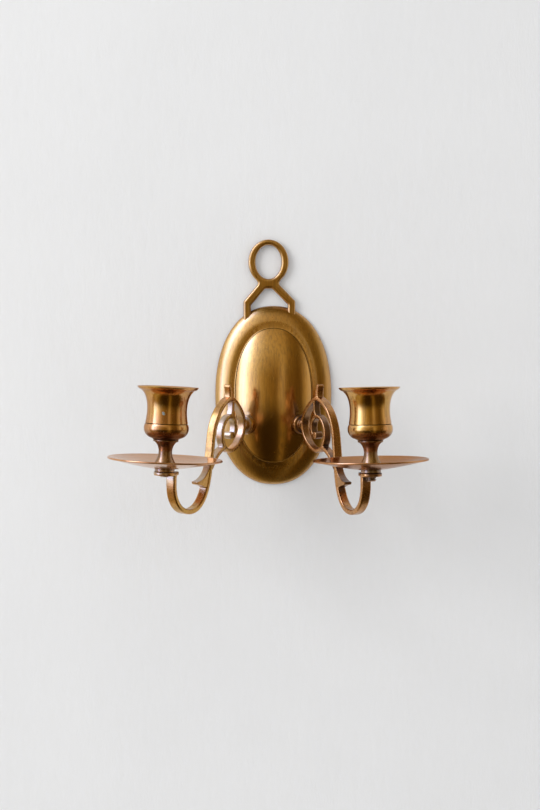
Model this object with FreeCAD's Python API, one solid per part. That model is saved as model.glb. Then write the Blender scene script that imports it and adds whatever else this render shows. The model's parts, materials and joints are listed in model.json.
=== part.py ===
import FreeCAD, Part
import math
import os

# Two-arm brass wall sconce for candles. Lengths are in millimetres, angles in degrees.
# The origin is the centre of the oval backplate on the wall plane.
# +Z is up, the wall is the plane y = 0, and the front of the sconce faces -Y.

# Backplate: a thin hollow casting, oval in outline, with a raised dome in the middle.
plate_half_width = 39.6
plate_half_height = 60.8
plate_depth = 18.0
plate_squareness = 2.2          # exponent of the oval; 2 would be a plain ellipse
dome_half_width = 25.8
dome_half_height = 45.0
dome_foot = 7.6                 # height of the ledge the dome rises from
dome_radius = 38.3              # crown radius across the middle of the dome
line_width = 0.4                # incised line round the foot of the dome
shell = 2.0

# Hanging loop, cast in one with the plate and a little to the left of its centre.
loop_x = -3.3
loop_z = 90.5
loop_half_width = 13.7
loop_half_height = 15.3
loop_opening_half_width = 8.8
loop_opening_half_height = 11.5
loop_thickness = 4.2

# Arms: both are the same casting, screwed to the dome from behind.
seat_x = 18.2
seat_depth = 12.7               # distance of the arm's seat from the wall
seat_z = -19.6
splay = 27.9                    # angle between each arm and straight out from the wall
arm_reach = 92.0                # from the seat to the axis of the candle cup
left_arm_turn = 2.9             # how far each arm leans about its screw, tops inwards
right_arm_turn = 1.4
left_hook_bend = 8.0            # the left hook is bent away from the plate,
right_hook_bend = -3.0          # the right one a little towards it
bend_x = 47.6                   # upright line, beside the scroll, about which a hook bends
strip_thickness = 3.4
strip_width_at_cup = 6.5
strip_width_at_scroll = 4.9     # at the inner end of the spiral
boss_radius = 6.4
boss_length = 3.2
pad_thickness = 3.0

# Eye at the end of the arm and the round lock nut on top of it.
collar_level = -25.5            # top of the lock nut, relative to the arm's screw
eye_radius = 6.7
eye_thickness = 2.4
lock_nut_radius = 6.2
lock_nut_thickness = 2.1

# Threads: quarter inch by twenty in the eye, number eight by thirty-two in the boss.
stud_radius = 3.175
stud_pitch = 1.27
stud_length = 12.0
stud_below_left = 5.3           # how far each stud reaches below the top of its lock nut
stud_below_right = 7.4
screw_radius = 2.08
screw_pitch = 0.794
washer_radius = 5.0
washer_thickness = 0.8
screw_head_radius = 3.8
screw_head_height = 2.6
thread_clearance = 0.05

# Drip pan and candle cup.
pan_radius = 35.7
pan_flat_radius = 8.8           # the cup's foot stands on this flat
pan_rise = 5.4
pan_sheet = 1.0
cup_height = 50.6
candle_radius = 11.2
socket_floor = 25.6
socket_top = 39.6


def at(x, y, z):
    return FreeCAD.Vector(x, y, z)


def cylinder(radius, start, end):
    """Upright cylinder on the Z axis between two heights."""
    return Part.makeCylinder(radius, end - start, at(0, 0, start))


def spline(points):
    curve = Part.BSplineCurve()
    curve.interpolate(points)
    return curve.toShape()


def turned(outline):
    """Solid of revolution about Z from a closed list of edges in the XZ plane."""
    face = Part.Face(Part.Wire(outline))
    return face.revolve(at(0, 0, 0), at(0, 0, 1), 360)


def power(value, exponent):
    return math.copysign(abs(value) ** exponent, value)


def oval(half_width, half_height, depth):
    """Closed oval parallel to the wall, standing a given depth in front of it."""
    points = []
    for step in range(32):
        angle = math.radians(step * 360.0 / 32)
        x = half_width * power(math.cos(angle), 2.0 / plate_squareness)
        z = half_height * power(math.sin(angle), 2.0 / plate_squareness)
        points.append(at(x, -depth, z))
    curve = Part.BSplineCurve()
    curve.interpolate(Points=points, PeriodicFlag=True)
    return Part.Wire(curve.toShape())


def plate_oval(half_width, depth):
    """Oval of the plate's family: it goes from the rim's outline to the dome's outline."""
    inset = (plate_half_width - half_width) / (plate_half_width - dome_half_width)
    half_height = plate_half_height - inset * (plate_half_height - dome_half_height)
    return oval(half_width, half_height, depth)


def stack(ovals, ruled=False):
    return Part.makeLoft(ovals, True, ruled)


def dome(foot, shrink, drop):
    """Crowned middle of the plate, from its foot to an almost flat top.

    Each level is the dome's oval scaled to a fraction of its size. The heights follow a
    circle across the middle. The shrink and the drop give the inside of the shell.
    """
    levels = [oval(dome_half_width - shrink, dome_half_height - shrink, foot)]
    crown = plate_depth - dome_radius
    for fraction in (1.0, 0.93, 0.84, 0.73, 0.6, 0.45, 0.3, 0.16, 0.05):
        across = dome_half_width * fraction
        depth = crown + math.sqrt(dome_radius ** 2 - across ** 2) - drop
        width = (dome_half_width - shrink) * fraction
        height = (dome_half_height - shrink) * fraction
        levels.append(oval(width, height, depth))
    lower = stack(levels[:2], True)
    return lower.fuse(stack(levels[1:]))


def make_loop():
    """Ring on a short neck with two splayed legs, all with well rounded edges."""
    ring = Part.Ellipse(at(0, 0, 0), loop_half_height, loop_half_width).toShape()
    hole = Part.Ellipse(at(0, 0, 0), loop_opening_half_height, loop_opening_half_width).toShape()
    solids = []
    for edge in (ring, hole):
        face = Part.Face(Part.Wire(edge))
        face.rotate(at(0, 0, 0), at(0, 0, 1), 90)
        face.rotate(at(0, 0, 0), at(1, 0, 0), 90)
        face.translate(at(loop_x, 0, loop_z))
        solids.append(face.extrude(at(0, -loop_thickness, 0)))
    legs = [
        (loop_x - 11.5, 83.4),
        (loop_x - 6.8, 75.8),
        (-20.3, 63.6),
        (-20.3, 50.5),
        (14.9, 50.5),
        (14.9, 64.0),
        (loop_x + 6.8, 75.8),
        (loop_x + 11.5, 83.4),
    ]
    triangle = [
        (-5.6, 72.4),
        (-15.2, 61.0),
        (-15.2, 53.0),
        (9.8, 53.0),
        (9.8, 61.6),
        (-0.9, 72.4),
    ]
    for outline in (legs, triangle):
        points = [at(x, 0, z) for x, z in outline]
        face = Part.Face(Part.makePolygon(points + points[:1]))
        solids.append(face.extrude(at(0, -loop_thickness, 0)))
    outer_ring, opening, leg_block, leg_gap = solids
    loop = outer_ring.fuse(leg_block).removeSplitter()
    loop = loop.cut(opening).cut(leg_gap)
    corners = [edge for edge in loop.Edges if is_upright_corner(edge)]
    loop = loop.makeFillet(2.0, corners)
    front = [edge for edge in loop.Edges if is_front_edge(edge)]
    return loop.makeFillet(1.8, front)


def is_upright_corner(edge):
    """True for a corner that runs straight back to the wall, above the plate's rim."""
    box = edge.BoundBox
    on_seam = abs(box.XMin - loop_x) < 0.01
    return box.XLength < 0.01 and box.ZLength < 0.01 and box.ZMin > 60.0 and not on_seam


def is_front_edge(edge):
    box = edge.BoundBox
    lowest = box.ZMax < 55.0
    return abs(box.YMin + loop_thickness) < 0.01 and box.YLength < 0.01 and not lowest


def place_arm(shape, side, turn):
    """Move a shape from the arm's own frame to its place on the plate.

    In the arm's frame X runs along the screw from the seat, Z is up and Y is sideways.
    The side is 1 for the right arm and -1 for the left arm.
    """
    moved = shape.copy()
    moved.rotate(at(0, 0, 0), at(1, 0, 0), side * turn)
    moved.rotate(at(0, 0, 0), at(0, 0, 1), side * splay - 90.0)
    moved.translate(at(side * seat_x, -seat_depth, seat_z))
    return moved


def along_screw(shape):
    """Lay an upright shape down along the arm's screw."""
    moved = shape.copy()
    moved.rotate(at(0, 0, 0), at(0, 1, 0), 90)
    return moved


def bend_hook(shape, bend):
    """Swing a shape on the hook about the upright line beside the scroll."""
    moved = shape.copy()
    moved.rotate(at(bend_x, 0, 0), at(0, 0, 1), bend)
    return moved


def on_hook(shape, bend):
    """Stand a shape on the end of the hook, its base level with the top of the lock nut."""
    moved = shape.copy()
    moved.translate(at(arm_reach, 0, collar_level))
    return bend_hook(moved, bend)


def section(curve, where, thickness, width):
    """Rectangle with bevelled corners, square to a curve that runs along the arm."""
    middle = curve.value(where)
    sideways = at(0, 1, 0)
    outwards = curve.tangent(where)[0].cross(sideways)
    outwards.normalize()
    bevel = 0.18 * thickness
    half_thick = thickness / 2.0
    half_wide = width / 2.0
    corners = [
        (half_thick, half_wide - bevel),
        (half_thick - bevel, half_wide),
        (bevel - half_thick, half_wide),
        (-half_thick, half_wide - bevel),
        (-half_thick, bevel - half_wide),
        (bevel - half_thick, -half_wide),
        (half_thick - bevel, -half_wide),
        (half_thick, bevel - half_wide),
    ]
    points = [middle + outwards * across + sideways * along for across, along in corners]
    return Part.makePolygon(points + points[:1])


def strip(points, thickness, width, end_thickness, end_width, bend=0.0):
    """Flat bar that follows a curve in the arm's plane and tapers along its length.

    The part of the curve beyond the bend line swings sideways by the bend angle.
    """
    route = []
    for x, z in points:
        beyond = max(0.0, x - bend_x)
        sideways = beyond * math.sin(math.radians(bend))
        forwards = x - beyond * (1.0 - math.cos(math.radians(bend)))
        route.append(at(forwards, sideways, z))
    curve = Part.BSplineCurve()
    curve.interpolate(route)
    sweep = Part.BRepOffsetAPI.MakePipeShell(Part.Wire(curve.toShape()))
    sweep.setBiNormalMode(at(0, 1, 0))
    sweep.add(section(curve, curve.FirstParameter, thickness, width))
    sweep.add(section(curve, curve.LastParameter, end_thickness, end_width))
    sweep.build()
    sweep.makeSolid()
    return sweep.shape()


def cross_bar(radius, length, x, z):
    """Short round bar lying across the strip."""
    bar = cylinder(radius, -length / 2.0, length / 2.0)
    bar.rotate(at(0, 0, 0), at(1, 0, 0), 90)
    bar.translate(at(x, 0, z))
    return bar


def make_thorn():
    """Leaf that springs from the inside of the hook and ends in a blunt tip."""
    root = at(49.9, 0, -23.4)
    upper_tip = at(61.9, 0, -35.1)
    lower_tip = at(61.4, 0, -37.0)
    lower_root = at(52.4, 0, -39.6)
    upper = spline([root, at(51.9, 0, -29.4), at(55.8, 0, -33.3), upper_tip])
    lower = spline([lower_tip, at(57.0, 0, -37.9), lower_root])
    inside_hook = at(49.2, 0, -31.0)
    end = Part.makeLine(upper_tip, lower_tip)
    back = [Part.makeLine(lower_root, inside_hook), Part.makeLine(inside_hook, root)]
    face = Part.Face(Part.Wire([upper, end, lower] + back))
    width = strip_width_at_cup - 1.2
    face.translate(at(0, -width / 2.0, 0))
    return face.extrude(at(0, width, 0))


def make_eye():
    """Round eye with a tab reaching back to the upright end of the hook."""
    bottom = collar_level - lock_nut_thickness - eye_thickness
    top = bottom + eye_thickness
    tab_radius = 4.5
    tab_x = arm_reach - 7.0
    gap = arm_reach - tab_x
    slope = (eye_radius - tab_radius) / gap
    rise = math.sqrt(1.0 - slope ** 2)
    corners = [
        at(arm_reach - eye_radius * slope, eye_radius * rise, bottom),
        at(tab_x - tab_radius * slope, tab_radius * rise, bottom),
        at(tab_x - tab_radius * slope, -tab_radius * rise, bottom),
        at(arm_reach - eye_radius * slope, -eye_radius * rise, bottom),
    ]
    web = Part.Face(Part.makePolygon(corners + corners[:1])).extrude(at(0, 0, eye_thickness))
    disc = cylinder(eye_radius, bottom, top)
    disc.translate(at(arm_reach, 0, 0))
    tab = cylinder(tab_radius, bottom, top)
    tab.translate(at(tab_x, 0, 0))
    eye = disc.fuse([web, tab]).removeSplitter()
    rims = [edge for edge in eye.Edges if edge.BoundBox.ZLength < 0.01]
    return eye.makeFillet(0.5, rims)


def make_boss():
    """Round foot of the arm with a softened rim, and the neck behind the scroll."""
    foot = cylinder(boss_radius, 0, boss_length)
    rim = [edge for edge in foot.Edges if edge.BoundBox.ZMin > boss_length - 0.01]
    foot = foot.makeFillet(1.0, rim)
    neck = cylinder(4.0, boss_length - 0.5, 6.4)
    return along_screw(foot.fuse(neck))


def make_arm(bend):
    """Flat scrolled arm: hook for the cup, pointed arch, and a spiral that ends in a curl."""
    thick = strip_thickness
    hook_end = collar_level - lock_nut_thickness - 1.0
    run = [
        (84.8, hook_end),
        (84.8, -35.6),
        (82.8, -44.4),
        (77.2, -51.1),
        (68.6, -53.9),
        (60.2, -52.0),
        (54.2, -46.0),
        (50.8, -38.0),
        (48.8, -27.0),
        (47.3, -14.0),
        (45.6, -2.0),
        (39.8, 8.9),
        (31.8, 15.4),
        (26.0, 17.4),
        (18.6, 15.0),
        (11.8, 10.0),
        (7.0, 4.0),
        (6.0, -2.6),
        (9.2, -9.0),
        (16.4, -14.8),
        (25.2, -16.6),
        (32.2, -13.0),
        (35.2, -6.0),
        (32.4, 1.8),
        (25.2, 5.8),
        (19.2, 2.8),
        (17.9, -2.8),
        (19.6, -6.8),
        (22.4, -7.6),
    ]
    body = strip(run, thick, strip_width_at_cup, thick - 0.9, strip_width_at_scroll, bend)
    wide = strip_width_at_scroll + 0.5
    nub = [(26.2, 16.4), (26.2, 19.8), (26.8, 23.0), (27.6, 25.4)]
    stem = [(22.8, 16.4), (22.1, 12.4), (22.6, 8.8), (24.0, 5.4)]
    link = [(31.2, -14.4), (36.8, -16.8), (42.2, -21.0), (47.6, -27.4)]
    pieces = [
        strip(nub, 3.6, wide, 2.8, wide - 0.7),
        strip(stem, 2.3, wide - 0.7, 2.3, wide - 0.7),
        strip(link, 2.6, wide, 2.6, wide),
        cross_bar(1.4, wide - 0.7, 27.6, 25.4),
        cross_bar(2.5, wide, 22.9, -6.6),
        bend_hook(make_thorn(), bend),
        bend_hook(make_eye(), bend),
        make_boss(),
    ]
    arm = body.fuse(pieces)
    stud_hole = on_hook(cylinder(stud_radius + thread_clearance, -10.0, 5.0), bend)
    screw_hole = along_screw(cylinder(screw_radius + thread_clearance, -1.0, 6.0))
    return arm.cut(stud_hole).cut(screw_hole)


def threaded_rod(radius, pitch, length):
    """Rod standing on the XY plane with a right-hand thread cut along its length."""
    depth = 0.6 * pitch
    rod = cylinder(radius, 0, length)
    ends = [edge for edge in rod.Edges if edge.BoundBox.ZLength < 0.01]
    rod = rod.makeChamfer(depth * 0.8, ends)
    reach = radius + 0.2
    helix = Part.makeLongHelix(pitch, length + 2.0 * pitch, radius)
    notch = [
        at(reach, 0, -0.46 * pitch),
        at(radius - depth, 0, -0.06 * pitch),
        at(radius - depth, 0, 0.06 * pitch),
        at(reach, 0, 0.46 * pitch),
    ]
    profile = Part.makePolygon(notch + notch[:1])
    groove = Part.Wire(helix.Edges).makePipeShell([profile], True, True)
    groove.translate(at(0, 0, -pitch))
    return rod.cut(groove)


def make_stud():
    return threaded_rod(stud_radius, stud_pitch, stud_length)


def make_screw():
    """Slotted cheese-head screw, its head below the washer inside the plate."""
    under_head = -pad_thickness - washer_thickness
    shank = threaded_rod(screw_radius, screw_pitch, 5.6 - under_head)
    shank.translate(at(0, 0, under_head))
    head = cylinder(screw_head_radius, under_head - screw_head_height, under_head)
    rims = [edge for edge in head.Edges if edge.BoundBox.ZMax < under_head - 0.1]
    head = head.makeFillet(0.5, rims)
    slot = Part.makeBox(12, 1.0, 1.4, at(-6, -0.5, under_head - screw_head_height - 0.2))
    return along_screw(head.cut(slot).fuse(shank))


def make_washer():
    ring = cylinder(washer_radius, -pad_thickness - washer_thickness, -pad_thickness)
    return along_screw(ring.cut(cylinder(screw_radius + 0.2, -10, 0)))


def make_lock_nut():
    """Plain round nut with softened edges."""
    ring = cylinder(lock_nut_radius, -lock_nut_thickness, 0)
    rims = [edge for edge in ring.Edges if edge.BoundBox.ZLength < 0.01]
    ring = ring.makeFillet(0.4, rims)
    return ring.cut(cylinder(stud_radius + thread_clearance, -5, 5))


def make_pan():
    """Spun drip pan: a flat seat, a shallow cone and a narrow rolled rim."""
    hole = stud_radius + 0.15
    inner = pan_radius - 1.0
    seat = at(hole, 0, 0)
    seat_top = at(hole, 0, pan_sheet)
    under = spline([
        at(pan_flat_radius, 0, 0),
        at(pan_flat_radius + 8.0, 0, 0.24 * pan_rise),
        at(inner, 0, pan_rise - 0.2),
    ])
    upper = spline([
        at(inner, 0, pan_rise + pan_sheet - 0.3),
        at(pan_flat_radius + 8.0, 0, 0.24 * pan_rise + pan_sheet),
        at(pan_flat_radius, 0, pan_sheet),
    ])
    rim = Part.Arc(
        at(inner, 0, pan_rise - 0.2),
        at(pan_radius, 0, pan_rise + 0.35),
        at(inner, 0, pan_rise + pan_sheet - 0.3),
    ).toShape()
    outline = [
        Part.makeLine(seat, at(pan_flat_radius, 0, 0)),
        under,
        rim,
        upper,
        Part.makeLine(at(pan_flat_radius, 0, pan_sheet), seat_top),
        Part.makeLine(seat_top, seat),
    ]
    return turned(outline)


def make_cup():
    """Turned candle cup: thin flared lip, waist, incised line, bulb, bead and foot."""
    foot = pan_sheet
    hole = stud_radius + thread_clearance
    hole_top = foot + 7.5
    foot_edge = at(8.2, 0, foot)
    foot_top = at(8.2, 0, foot + 0.5)
    bead_low = at(7.1, 0, 16.6)
    bead_high = at(7.6, 0, 17.8)
    bulb_low = at(9.4, 0, 18.8)
    line_low = at(13.3, 0, 27.5)
    line_high = at(13.2, 0, 28.0)
    rim_low = at(16.7, 0, 48.4)
    rim_high = at(19.0, 0, cup_height - 0.3)
    lip = at(18.7, 0, cup_height)
    throat = at(candle_radius, 0, socket_top)
    floor_edge = at(candle_radius, 0, socket_floor)
    floor = at(0, 0, socket_floor - 2.0)
    stem = [foot_top, at(5.3, 0, 5.6), at(4.2, 0, 10.3), at(5.2, 0, 14.4), bead_low]
    bulb = [bulb_low, at(12.6, 0, 20.9), at(13.9, 0, 24.0), line_low]
    flare = [line_high, at(12.4, 0, 34.6), at(12.9, 0, 41.6), at(14.4, 0, 45.8), rim_low]
    inside = [lip, at(14.6, 0, 48.4), at(12.2, 0, 44.6), throat]
    outline = [
        Part.makeLine(at(hole, 0, foot), foot_edge),
        Part.makeLine(foot_edge, foot_top),
        spline(stem),
        Part.Arc(bead_low, at(7.9, 0, 17.1), bead_high).toShape(),
        Part.makeLine(bead_high, bulb_low),
        spline(bulb),
        Part.makeLine(line_low, at(12.8, 0, 27.75)),
        Part.makeLine(at(12.8, 0, 27.75), line_high),
        spline(flare),
        Part.Arc(rim_low, at(18.1, 0, 49.1), rim_high).toShape(),
        Part.makeLine(rim_high, lip),
        spline(inside),
        Part.makeLine(throat, floor_edge),
        Part.makeLine(floor_edge, floor),
        Part.makeLine(floor, at(0, 0, hole_top + 1.8)),
        Part.makeLine(at(0, 0, hole_top + 1.8), at(hole, 0, hole_top)),
        Part.makeLine(at(hole, 0, hole_top), at(hole, 0, foot)),
    ]
    return turned(outline)


def make_backplate():
    rim_oval = plate_oval(plate_half_width - 0.5, 0)
    flange = [
        plate_oval(plate_half_width, 0.5),
        plate_oval(plate_half_width - 0.2, 1.4),
        plate_oval(plate_half_width - 1.1, 2.6),
        plate_oval(plate_half_width - 2.7, 4.1),
        plate_oval(plate_half_width - 4.8, 5.6),
        plate_oval(plate_half_width - 7.3, 6.9),
        plate_oval(plate_half_width - 10.0, 7.8),
        plate_oval(dome_half_width + line_width, 8.3),
    ]
    skin = stack([rim_oval, flange[0]], True).fuse(stack(flange))
    well = stack([
        plate_oval(dome_half_width + line_width, dome_foot),
        plate_oval(dome_half_width + line_width, dome_foot + 5.0),
    ], True)
    skin = skin.cut(well).fuse(dome(dome_foot - 1.0, 0.0, 0.0)).fuse(make_loop())
    hollow = [
        plate_oval(plate_half_width - 3.0, -0.5),
        plate_oval(plate_half_width - 3.0, 0.3),
        plate_oval(plate_half_width - 4.2, 2.4),
        plate_oval(plate_half_width - 6.2, 4.0),
        plate_oval(plate_half_width - 9.4, 5.3),
        plate_oval(dome_half_width - shell, 6.0),
    ]
    skin = skin.cut(stack(hollow))
    skin = skin.cut(dome(4.1, shell, shell))
    for side, turn in ((-1, left_arm_turn), (1, right_arm_turn)):
        pad = along_screw(cylinder(boss_radius + 0.3, -pad_thickness, 0))
        skin = skin.fuse(place_arm(pad, side, turn))
        in_front = cylinder(boss_radius + 2.0, 0, 12)
        behind = cylinder(washer_radius + 0.5, -12, -pad_thickness)
        hole = cylinder(screw_radius + 0.1, -12, 4)
        for room in (in_front, behind, hole):
            skin = skin.cut(place_arm(along_screw(room), side, turn))
    return skin


def save(shape, name):
    shape.exportStep("parts/" + name + ".step")


os.makedirs("parts", exist_ok=True)
save(make_backplate(), "backplate")
sides = (
    ("left", -1, left_arm_turn, -left_hook_bend, stud_below_left),
    ("right", 1, right_arm_turn, right_hook_bend, stud_below_right),
)
root_pieces = (
    ("arm_screw", make_screw()),
    ("arm_washer", make_washer()),
)
hook_pieces = (
    ("lock_nut", make_lock_nut()),
    ("drip_pan", make_pan()),
    ("candle_cup", make_cup()),
)
stud = make_stud()
for side_name, side, turn, bend, stud_below in sides:
    save(place_arm(make_arm(bend), side, turn), side_name + "_arm")
    for piece_name, piece in root_pieces:
        save(place_arm(piece, side, turn), side_name + "_" + piece_name)
    for piece_name, piece in hook_pieces:
        save(place_arm(on_hook(piece, bend), side, turn), side_name + "_" + piece_name)
    lowered = stud.copy()
    lowered.translate(at(0, 0, -stud_below))
    save(place_arm(on_hook(lowered, bend), side, turn), side_name + "_stud")
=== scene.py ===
import json
import math

import bpy
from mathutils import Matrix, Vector


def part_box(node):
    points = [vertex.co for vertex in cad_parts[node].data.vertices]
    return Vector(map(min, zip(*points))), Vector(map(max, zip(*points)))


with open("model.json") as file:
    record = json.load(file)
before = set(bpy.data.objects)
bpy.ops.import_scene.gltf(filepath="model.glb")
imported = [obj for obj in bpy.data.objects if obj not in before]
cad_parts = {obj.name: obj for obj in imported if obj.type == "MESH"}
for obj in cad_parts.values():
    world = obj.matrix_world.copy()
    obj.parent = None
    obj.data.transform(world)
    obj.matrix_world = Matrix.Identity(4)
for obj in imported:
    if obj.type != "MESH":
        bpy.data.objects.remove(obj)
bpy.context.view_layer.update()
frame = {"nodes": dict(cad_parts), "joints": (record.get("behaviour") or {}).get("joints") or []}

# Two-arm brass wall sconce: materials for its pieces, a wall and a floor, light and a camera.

nodes = frame["nodes"]
joints = {joint["name"]: joint for joint in frame["joints"]}
scene = bpy.context.scene


class Tree:
    """Short names for building a shader's nodes."""

    def __init__(self, tree):
        self.tree = tree
        tree.nodes.clear()

    def add(self, kind, inputs=None, **settings):
        node = self.tree.nodes.new(kind)
        for name, value in settings.items():
            setattr(node, name, value)
        for name, value in (inputs or {}).items():
            socket = node.inputs[name]
            if isinstance(value, bpy.types.NodeSocket):
                self.tree.links.new(value, socket)
            else:
                socket.default_value = value
        return node

    def noise(self, where, scale, detail=4.0, roughness=0.55, stretch=None):
        if stretch:
            moved = self.add("ShaderNodeMapping", {"Vector": where, "Scale": stretch})
            where = moved.outputs[0]
        node = self.add("ShaderNodeTexNoise", {
            "Vector": where, "Scale": scale, "Detail": detail, "Roughness": roughness,
        })
        return node.outputs["Fac"]

    def span(self, value, low, high, start=0.0, end=1.0):
        """Map low..high to start..end, held constant beyond either end."""
        node = self.add("ShaderNodeMapRange", {
            "Value": value, "From Min": low, "From Max": high, "To Min": start, "To Max": end,
        })
        return node.outputs[0]

    def calc(self, operation, first, second=0.0):
        return self.add("ShaderNodeMath", {0: first, 1: second}, operation=operation).outputs[0]

    def plus(self, first, second):
        return self.calc("ADD", first, second)

    def times(self, first, second):
        return self.calc("MULTIPLY", first, second)

    def inverse(self, value):
        return self.calc("SUBTRACT", 1.0, value)

    def vector(self, operation, first, second):
        """Vector operation with a vector result."""
        node = self.add("ShaderNodeVectorMath", {0: first, 1: second}, operation=operation)
        return node.outputs["Vector"]

    def measure(self, operation, first, second=(0.0, 0.0, 0.0)):
        """Vector operation with a number as its result."""
        node = self.add("ShaderNodeVectorMath", {0: first, 1: second}, operation=operation)
        return node.outputs["Value"]

    def mix(self, share, first, second):
        node = self.add("ShaderNodeMix", {0: share, 6: first, 7: second}, data_type="RGBA")
        return node.outputs[2]

    def bump(self, height, distance, normal=None):
        inputs = {"Height": height, "Distance": distance}
        if normal is not None:
            inputs["Normal"] = normal
        return self.add("ShaderNodeBump", inputs).outputs[0]

    def bands(self, value, stops):
        """Colours along a value from 0 to 1, blended from each stop to the next."""
        node = self.add("ShaderNodeValToRGB", {"Fac": value})
        elements = node.color_ramp.elements
        while len(elements) < len(stops):
            elements.new(0.5)
        for element, (position, shade) in zip(elements, stops):
            element.position = position
            element.color = shade
        return node.outputs["Color"]


def colour(red, green, blue):
    return (red, green, blue, 1.0)


def grey(level):
    return colour(level, level, level)


def new_material(name):
    material = bpy.data.materials.new(name)
    material.use_nodes = True
    return material, Tree(material.node_tree)


# Brass. Colours are linear.
golden = colour(0.66, 0.35, 0.06)
ochre = colour(0.63, 0.31, 0.045)
copper = colour(0.64, 0.29, 0.09)
# Dark colour for recesses: tarnish together with painted shade.
dark_tarnish_and_shade = colour(0.10, 0.05, 0.03)
edge_radius = 0.0007            # width of the rubbed band on an edge
film_index = 1.8                # clear neutral skin over the metal
film_roughness = 0.16
# How fast the polishing lines change along x, y and z.
upright_grain = (3.0, 3.0, 0.15)
even_grain = (1.0, 1.0, 1.0)
ring_grain = (3.0, 3.0, 3.0)


def ring_place(t, place, centre, axis):
    """Coordinates that change mainly with the distance from an axis."""
    outwards = t.vector("SUBTRACT", place, centre)
    radius = t.measure("LENGTH", t.vector("CROSS_PRODUCT", outwards, axis))
    rings = t.add("ShaderNodeCombineXYZ", {"X": radius}).outputs[0]
    drift = t.vector("MULTIPLY", place, (0.08, 0.08, 0.08))
    return t.vector("ADD", rings, drift)


def edge_mask(t):
    """1 on convex and concave edges, 0 on smooth surfaces."""
    soft = t.add("ShaderNodeBevel", {"Radius": edge_radius}, samples=4).outputs[0]
    flat = t.add("ShaderNodeNewGeometry").outputs["Normal"]
    return t.span(t.measure("DOT_PRODUCT", soft, flat), 0.995, 0.90)


def pit_mask(t, place):
    """Small round pits, in patches."""
    cells = t.add("ShaderNodeTexVoronoi", {"Vector": place, "Scale": 520.0})
    pit = t.span(cells.outputs["Distance"], 0.20, 0.10)
    return t.times(pit, t.span(t.noise(place, 120.0, 2.0), 0.54, 0.66))


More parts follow.
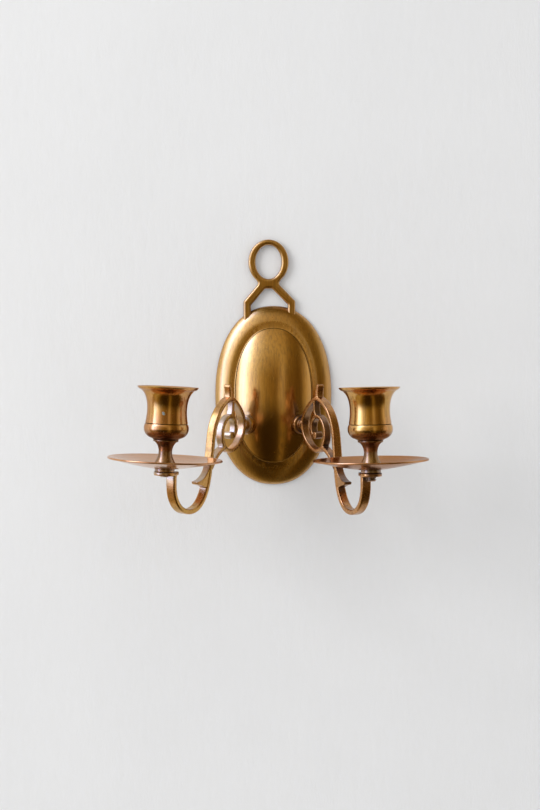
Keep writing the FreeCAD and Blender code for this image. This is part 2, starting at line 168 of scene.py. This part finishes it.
def brass(name, main, second, rough, recess=0.006, hollow_tarnish_and_shading=dark_tarnish_and_shade, tarnish_and_shading_strength=0.7, closed=(0.85, 0.4),
          wear=0.7, sideways=None, glance=grey(1.0), spots=0.6, grain=upright_grain, marks=(),
          film=1.0, rim=None, lathe=None):
    """Old brass with two metal tints, tarnish and painted shade in the recesses, rubbed edges
    and pits.

    recess: how far away a surface can be and still close in a recess
    patina, grime: colour and strength of what the recesses are painted with, tarnish together
    with painted shade; a pale colour paints light there instead
    closed: shares of open surroundings at which the tarnish and painted shade start and are
    complete
    wear: how bright the rubbed edges are
    sideways: flat flanks that face this way are rubbed bright and hold neither tarnish nor
    painted shade
    glance: tint of the metal at a glancing angle
    spots: strength of the pits
    grain: stretch of the polishing lines
    marks: (place, radius, colour, added roughness) of single blots
    film: weight of the clear skin
    rim: half width and half height of an upright oval outside which the metal is duller
    lathe: (centre, axis) of a spun piece, whose polishing lines run in rings
    """
    material, t = new_material(name)
    coordinates = t.add("ShaderNodeTexCoord")
    place = coordinates.outputs["Object"]
    lined = ring_place(t, place, *lathe) if lathe else place
    broad = t.noise(place, 45.0, 3.0)
    cloudy = t.noise(lined, 260.0, 6.0, 0.62, grain)
    fine = t.noise(place, 1100.0, 5.0, 0.65)
    lines = t.noise(lined, 620.0, 3.0, 0.6, grain)
    umber = colour(main[0] * 0.30, main[1] * 0.22, main[2] * 0.22)
    bright = colour(min(1.0, main[0] * 1.25), main[1] * 1.28, main[2] * 1.3)

    # Recesses, found by how little of the surroundings is open, are tinted with patina: tarnish
    # together with painted shade; a pale patina colour paints light there instead.
    openness = t.add("ShaderNodeAmbientOcclusion", {"Distance": recess}, samples=8)
    hidden = t.span(openness.outputs["AO"], closed[0], closed[1])
    tarnish_and_shading_mask = t.times(hidden, t.span(fine, 0.3, 0.6, 0.7, 1.0))
    rubbed = t.times(edge_mask(t), t.inverse(hidden))
    if sideways is not None:
        facing = t.measure("DOT_PRODUCT", coordinates.outputs["Normal"], sideways)
        flank = t.span(t.calc("ABSOLUTE", facing), 0.70, 0.90)
        tarnish_and_shading_mask = t.times(tarnish_and_shading_mask, t.inverse(flank))
        rubbed = t.calc("MAXIMUM", rubbed, t.times(flank, 0.5))
    tarnish_and_shading_mask = t.times(tarnish_and_shading_mask, tarnish_and_shading_strength)
    pit = pit_mask(t, place)

    tint = t.mix(t.span(broad, 0.40, 0.62), main, second)
    tint = t.mix(t.span(cloudy, 0.46, 0.66, 0.0, 0.38), tint, umber)
    tint = t.mix(t.span(lines, 0.52, 0.72, 0.0, 0.24), tint, umber)
    # Painted shade and tarnish in the recesses.
    tint = t.mix(tarnish_and_shading_mask, tint, hollow_tarnish_and_shading)
    tint = t.mix(t.times(rubbed, wear), tint, bright)
    tint = t.mix(t.times(pit, spots), tint, umber)

    uneven = t.plus(t.span(cloudy, 0.3, 0.7, -0.04, 0.07), t.span(fine, 0.3, 0.7, -0.02, 0.04))
    roughness = t.plus(uneven, rough)
    roughness = t.plus(roughness, t.times(tarnish_and_shading_mask, 0.16))
    roughness = t.plus(roughness, t.times(pit, 0.2))

    normal = t.bump(t.noise(place, 60.0, 1.0), 0.00004)
    normal = t.bump(lines, 0.000004, normal)
    normal = t.bump(fine, 0.000004, normal)
    normal = t.bump(t.inverse(pit), 0.00003, normal)

    if rim is not None:
        scaled = t.vector("MULTIPLY", place, (1.0 / rim[0], 0.0, 1.0 / rim[1]))
        outside = t.span(t.measure("LENGTH", scaled), 0.98, 1.04)
        tint = t.mix(t.times(outside, 0.10), tint, umber)
        roughness = t.plus(roughness, t.times(outside, 0.13))
    for spot, radius, shade, dull in marks:
        away = t.measure("DISTANCE", place, spot)
        away = t.plus(away, t.span(fine, 0.3, 0.7, -0.3 * radius, 0.3 * radius))
        blot = t.span(away, radius, 0.7 * radius)
        tint = t.mix(blot, tint, shade)
        roughness = t.plus(roughness, t.times(blot, dull))

    shader = t.add("ShaderNodeBsdfPrincipled", {
        "Base Color": tint, "Metallic": 1.0, "Roughness": roughness, "Normal": normal,
        "Specular Tint": glance, "Coat Weight": film, "Coat IOR": film_index,
        "Coat Roughness": film_roughness,
    })
    t.add("ShaderNodeOutputMaterial", {"Surface": shader.outputs[0]})
    return material


def paint(obj, material):
    obj.data.materials.clear()
    obj.data.materials.append(material)


def scroll_flank(side):
    """Direction square to the plane of an arm's scrollwork."""
    upright = Vector(joints[side + "_cup_turn"]["axis"])
    along = Vector(joints[side + "_arm_swivel"]["axis"])
    return tuple(upright.cross(along).normalized())


def soften(obj, cell, rounds):
    """Round the edges of a casting: a fine even skin, then a few rounds of smoothing."""
    skin = obj.modifiers.new("skin", "REMESH")
    skin.mode = "VOXEL"
    skin.voxel_size = cell
    skin.use_smooth_shade = True
    smooth = obj.modifiers.new("smooth", "SMOOTH")
    smooth.factor = 0.5
    smooth.iterations = rounds


def paint_plate():
    """The dome is polished; the border and the loop outside its oval are duller."""
    low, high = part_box("backplate")
    half_width = 0.355 * (high[0] - low[0])
    half_height = 0.81 * -low[2]
    paint(nodes["backplate"],
          brass("plate_brass", golden, ochre, rough=0.17, recess=0.012, tarnish_and_shading_strength=0.85,
                closed=(0.80, 0.35), wear=0.25, rim=(half_width, half_height)))


def paint_side(side, cast, arm_hollow_shading, cup_glance, pan_glance, pan_film, chips):
    """Materials of one arm and of all that it carries.

    chips: (offset from the foot of the cup's axis, radius, colour, added roughness) of
    blots on the cup
    """
    cup_turn = joints[side + "_cup_turn"]
    foot = Vector(cup_turn["pos_m"])
    arm = nodes[side + "_arm"]
    paint(arm,
          brass(side + "_arm_brass", cast, copper, rough=0.25, recess=0.022, hollow_tarnish_and_shading=arm_hollow_shading,
                tarnish_and_shading_strength=1.0, closed=(0.80, 0.60), sideways=scroll_flank(side), spots=0.9,
                grain=even_grain, film=0.3))
    soften(arm, cell=0.0003, rounds=9)

    marks = [(tuple(foot + Vector(offset)), *rest) for offset, *rest in chips]
    paint(nodes[side + "_candle_cup"],
          brass(side + "_cup_brass", golden, copper, rough=0.17, recess=0.03, tarnish_and_shading_strength=0.95,
                closed=(0.88, 0.50), wear=0.4, glance=cup_glance, marks=marks, film=0.6))
    paint(nodes[side + "_drip_pan"],
          brass(side + "_pan_brass", colour(0.62, 0.33, 0.16), copper, rough=0.16,
                glance=pan_glance, grain=ring_grain, film=pan_film,
                lathe=(tuple(foot), tuple(cup_turn["axis"]))))
    hardware = brass(side + "_hardware_brass", colour(0.27, 0.155, 0.06), copper, rough=0.36,
                     recess=0.004, tarnish_and_shading_strength=1.0)
    for part in ("arm_screw", "arm_washer", "lock_nut", "stud"):
        paint(nodes[side + "_" + part], hardware)


paint_plate()
paint_side(
    "left",
    cast=colour(0.55, 0.30, 0.055),
    # Painted light: pale silvery recesses of the left arm, whose inner walls face the window.
    arm_hollow_shading=colour(0.58, 0.50, 0.40),
    cup_glance=colour(0.60, 0.42, 0.30),
    pan_glance=colour(0.92, 0.83, 0.76),
    pan_film=0.5,
    chips=[((0.0004, -0.0126, 0.0340), 0.0013, colour(0.40, 0.47, 0.48), 0.3)],
)
paint_side(
    "right",
    cast=colour(0.46, 0.22, 0.06),
    # Painted shade: dark recesses of the right arm, away from the window.
    arm_hollow_shading=colour(0.11, 0.08, 0.08),
    cup_glance=colour(0.80, 0.66, 0.50),
    # Painted shade: the right pan reflects less than the left one, through a darker glancing
    # tint and a thinner film.
    pan_glance=colour(0.60, 0.45, 0.36),
    pan_film=0.2,
    chips=[],
)

# Surroundings: a wall just behind the plate, and a pale floor.
wall_gap = 0.0004
room_half = 3.0
floor_level = -1.2
wall_top = 2.0


def flat_sheet(name, corners, material):
    mesh = bpy.data.meshes.new(name)
    mesh.from_pydata(corners, [], [(0, 1, 2, 3)])
    sheet = bpy.data.objects.new(name, mesh)
    scene.collection.objects.link(sheet)
    paint(sheet, material)
    return sheet


def plaster():
    """Off-white wall that isn't there for a camera behind it."""
    material, t = new_material("wall_plaster")
    place = t.add("ShaderNodeTexCoord").outputs["Object"]
    mottle = t.noise(place, 9.0, 6.0, 0.6)
    tint = t.mix(t.span(mottle, 0.35, 0.65), grey(0.82), grey(0.80))
    grain = t.noise(place, 160.0, 6.0, 0.65, (1.0, 1.0, 0.35))
    front = t.add("ShaderNodeBsdfPrincipled", {
        "Base Color": tint, "Roughness": 0.85, "Normal": t.bump(grain, 0.00035),
        "Specular IOR Level": 0.15,
    })
    eye = t.add("ShaderNodeVectorTransform", {"Vector": (0.0, 0.0, 0.0)},
                vector_type="POINT", convert_from="CAMERA", convert_to="WORLD").outputs[0]
    eye_y = t.add("ShaderNodeSeparateXYZ", {0: eye}).outputs["Y"]
    behind = t.calc("GREATER_THAN", eye_y, 0.0)
    clear = t.add("ShaderNodeBsdfTransparent").outputs[0]
    both = t.add("ShaderNodeMixShader", {0: behind, 1: front.outputs[0], 2: clear})
    t.add("ShaderNodeOutputMaterial", {"Surface": both.outputs[0]})
    return material


def pale_floor():
    material, t = new_material("floor_pale")
    place = t.add("ShaderNodeTexCoord").outputs["Object"]
    tint = t.mix(t.noise(place, 4.0, 4.0), grey(0.76), grey(0.80))
    matt = t.add("ShaderNodeBsdfPrincipled", {"Base Color": tint, "Roughness": 0.8})
    t.add("ShaderNodeOutputMaterial", {"Surface": matt.outputs[0]})
    return material


flat_sheet("wall", [
    (-room_half, wall_gap, floor_level), (room_half, wall_gap, floor_level),
    (room_half, wall_gap, wall_top), (-room_half, wall_gap, wall_top),
], plaster())
floor = flat_sheet("floor", [
    (-room_half, -room_half, floor_level), (room_half, -room_half, floor_level),
    (room_half, room_half, floor_level), (-room_half, room_half, floor_level),
], pale_floor())
floor.visible_glossy = False    # polished metal sees the low row of the room instead

# What polished metal sees of the room at three heights, as (azimuth in degrees, brightness).
# Azimuth 0 is straight out from the wall, and it is negative to the left, at the window's side.
room_low = [
    (-88, 0.40), (-70, 0.55), (-55, 0.30), (-40, 0.08), (-20, 0.03), (8, 0.04), (14, 0.26),
    (22, 0.22), (30, 0.06), (74, 0.05), (88, 0.20),
]
room_middle = [
    (-100, 0.75), (-90, 0.66), (-84, 0.80), (-77, 1.5), (-72, 2.9), (-62, 2.9), (-54, 1.8),
    (-46, 1.2), (-38, 0.85), (-30, 0.62), (-22, 0.46), (-14, 0.34), (-4, 0.25), (7, 0.22),
    (13, 0.54), (20, 0.60), (27, 0.26), (36, 0.20), (52, 0.13), (61, 0.16), (70, 0.50),
    (80, 0.75), (100, 0.80),
]
room_high = [
    (-92, 0.75), (-80, 2.2), (-74, 4.4), (-60, 4.4), (-45, 1.4), (-30, 0.90), (-18, 0.70),
    (-6, 0.60), (10, 0.52), (26, 0.46), (38, 0.26), (60, 0.16), (76, 0.26), (86, 0.50),
    (94, 0.75),
]
ceiling_brightness = 0.10
low_to_middle = (-17, -3)       # elevations in degrees between which the rows blend
middle_to_high = (14, 36)
high_to_ceiling = (52, 70)
daylight = grey(0.75)           # even light from the whole room on dull surfaces


def lit(level):
    """Dim parts of the room are brown, bright parts neutral and the window's core is blue."""
    cool = min(1.0, level / 0.9)
    glare = min(1.0, max(0.0, level - 0.9) / 2.0)
    green = 0.56 + 0.44 * cool + 0.25 * glare
    blue = 0.12 + 0.88 * cool * cool + 1.2 * glare
    return colour(level, level * green, level * blue)


def room_light():
    """Neutral soft light for dull surfaces; polished metal sees a dim room with a window."""
    world = bpy.data.worlds.new("room")
    world.use_nodes = True
    world.cycles.sampling_method = "NONE"
    scene.world = world
    t = Tree(world.node_tree)
    way = t.add("ShaderNodeTexCoord").outputs["Generated"]
    parts = t.add("ShaderNodeSeparateXYZ", {0: way})
    azimuth = t.calc("ARCTAN2", parts.outputs["X"], t.times(parts.outputs["Y"], -1.0))
    elevation = t.calc("ARCSINE", parts.outputs["Z"])
    turn = t.span(azimuth, -math.pi, math.pi)

    def row(stops):
        return t.bands(turn, [(0.5 + angle / 360.0, lit(level)) for angle, level in stops])

    def rising(limits):
        return t.span(elevation, math.radians(limits[0]), math.radians(limits[1]))

    room = t.mix(rising(low_to_middle), row(room_low), row(room_middle))
    room = t.mix(rising(middle_to_high), room, row(room_high))
    room = t.mix(rising(high_to_ceiling), room, lit(ceiling_brightness))
    glossy = t.add("ShaderNodeLightPath").outputs["Is Glossy Ray"]
    seen = t.mix(glossy, daylight, room)
    background = t.add("ShaderNodeBackground", {"Color": seen, "Strength": 1.0})
    t.add("ShaderNodeOutputWorld", {"Surface": background.outputs[0]})


def soft_box(name, azimuth, elevation, distance, width, height, radiance):
    """Large soft lamp aimed at the plate, with its azimuth counted as in the room."""
    lamp = bpy.data.lights.new(name, "AREA")
    lamp.shape = "RECTANGLE"
    lamp.size = width
    lamp.size_y = height
    lamp.energy = radiance * math.pi * width * height
    obj = bpy.data.objects.new(name, lamp)
    scene.collection.objects.link(obj)
    a = math.radians(azimuth)
    e = math.radians(elevation)
    way = Vector((math.sin(a) * math.cos(e), -math.cos(a) * math.cos(e), math.sin(e)))
    obj.location = way * distance
    obj.rotation_euler = (-way).to_track_quat("-Z", "Y").to_euler()
    obj.visible_glossy = False      # polished metal sees the room's own window instead


room_light()
soft_box("window", azimuth=-52, elevation=18, distance=2.2, width=1.0, height=1.4, radiance=4.9)

# Camera: straight in front of the sconce, about a metre away, looking very slightly down.
camera_place = (-0.0046, -0.9633, 0.0052)
camera_down = 0.71              # degrees
camera_right = 0.14             # degrees
camera_lens = 62.76             # mm
camera = bpy.data.objects.new("camera", bpy.data.cameras.new("camera"))
scene.collection.objects.link(camera)
camera.data.lens = camera_lens
camera.data.clip_start = 0.01
camera.location = camera_place
camera.rotation_euler = (math.radians(90 - camera_down), 0.0, math.radians(-camera_right))
scene.camera = camera
scene.view_settings.view_transform = "Standard"
